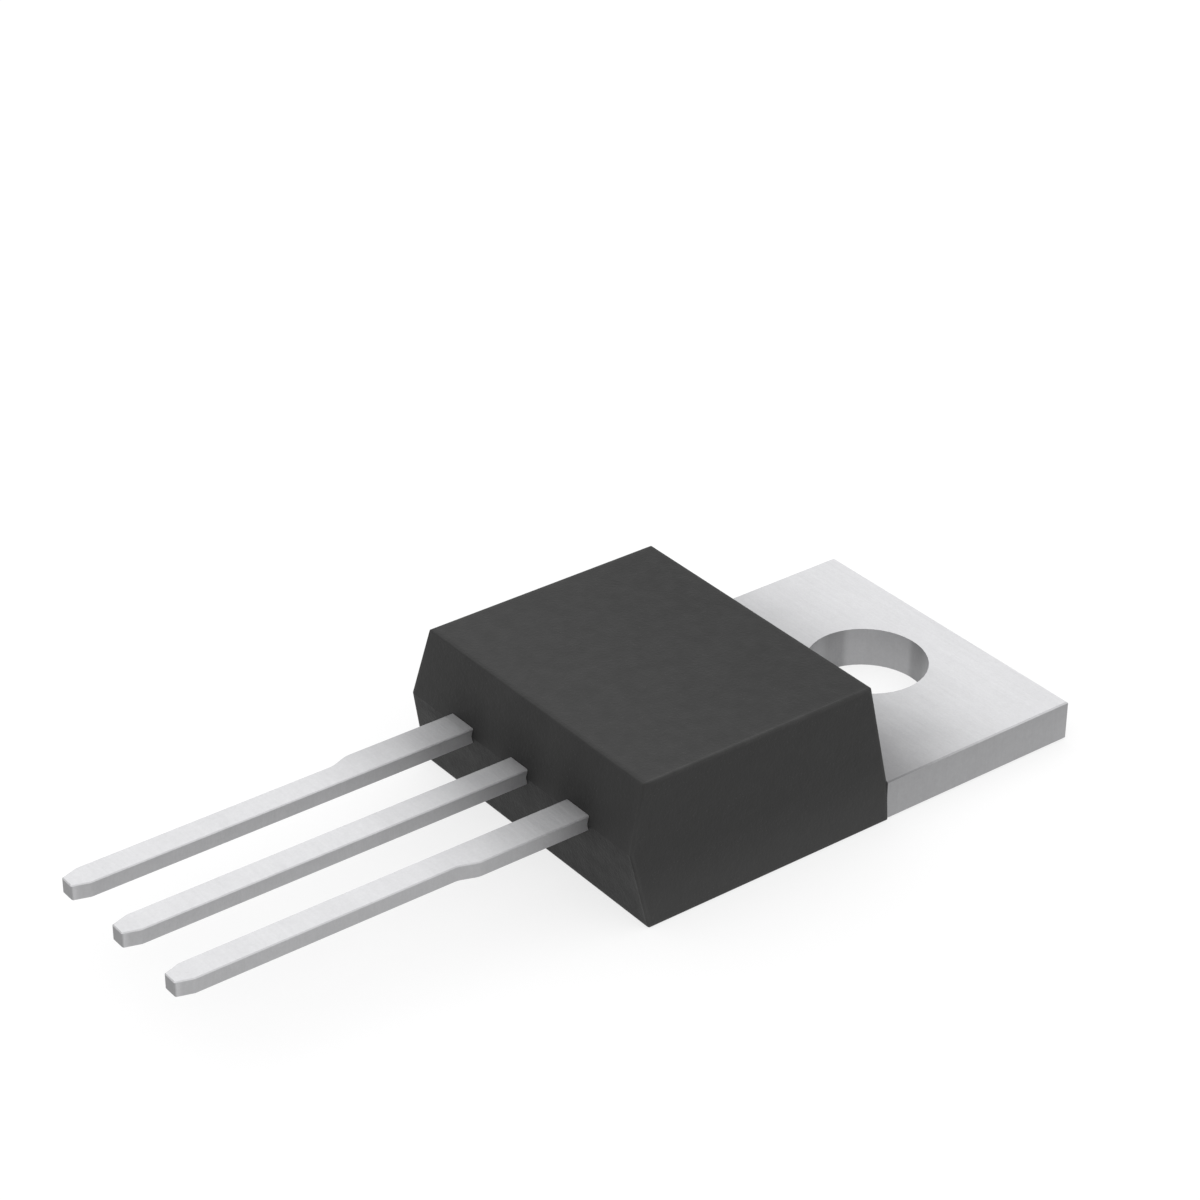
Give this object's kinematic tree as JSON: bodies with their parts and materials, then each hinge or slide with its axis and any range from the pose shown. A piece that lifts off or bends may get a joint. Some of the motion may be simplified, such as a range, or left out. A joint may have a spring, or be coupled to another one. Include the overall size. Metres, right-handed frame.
{
  "type": "power mosfet",
  "caption": "Through-hole power transistor: black moulded body, flat metal tab with a screw hole, and straight flat leads in a row with tapered tips.",
  "frame": {"origin": "on the axis of the tab hole, at the mounting back", "axes": "+X across the leads, to the right seen from the front with the leads down; +Y from the leads to the tab; +Z from the mounting back to the front"},
  "size_m": [0.0104, 0.0284, 0.0044],
  "materials": {
    "moulding_compound": "matt, moulded",
    "tinned_copper": "matt tin plating",
    "silicon": "polished",
    "solder": "satin",
    "bond_wire": "satin"
  },
  "bodies": {
    "root": {"moulded_body": "moulding_compound", "drain_tab": "tinned_copper", "gate_lead": "tinned_copper", "source_lead": "tinned_copper", "silicon_die": "silicon", "die_solder": "solder", "gate_wire": "bond_wire", "source_wire_1": "bond_wire", "source_wire_2": "bond_wire"}
  },
  "joints": []
}
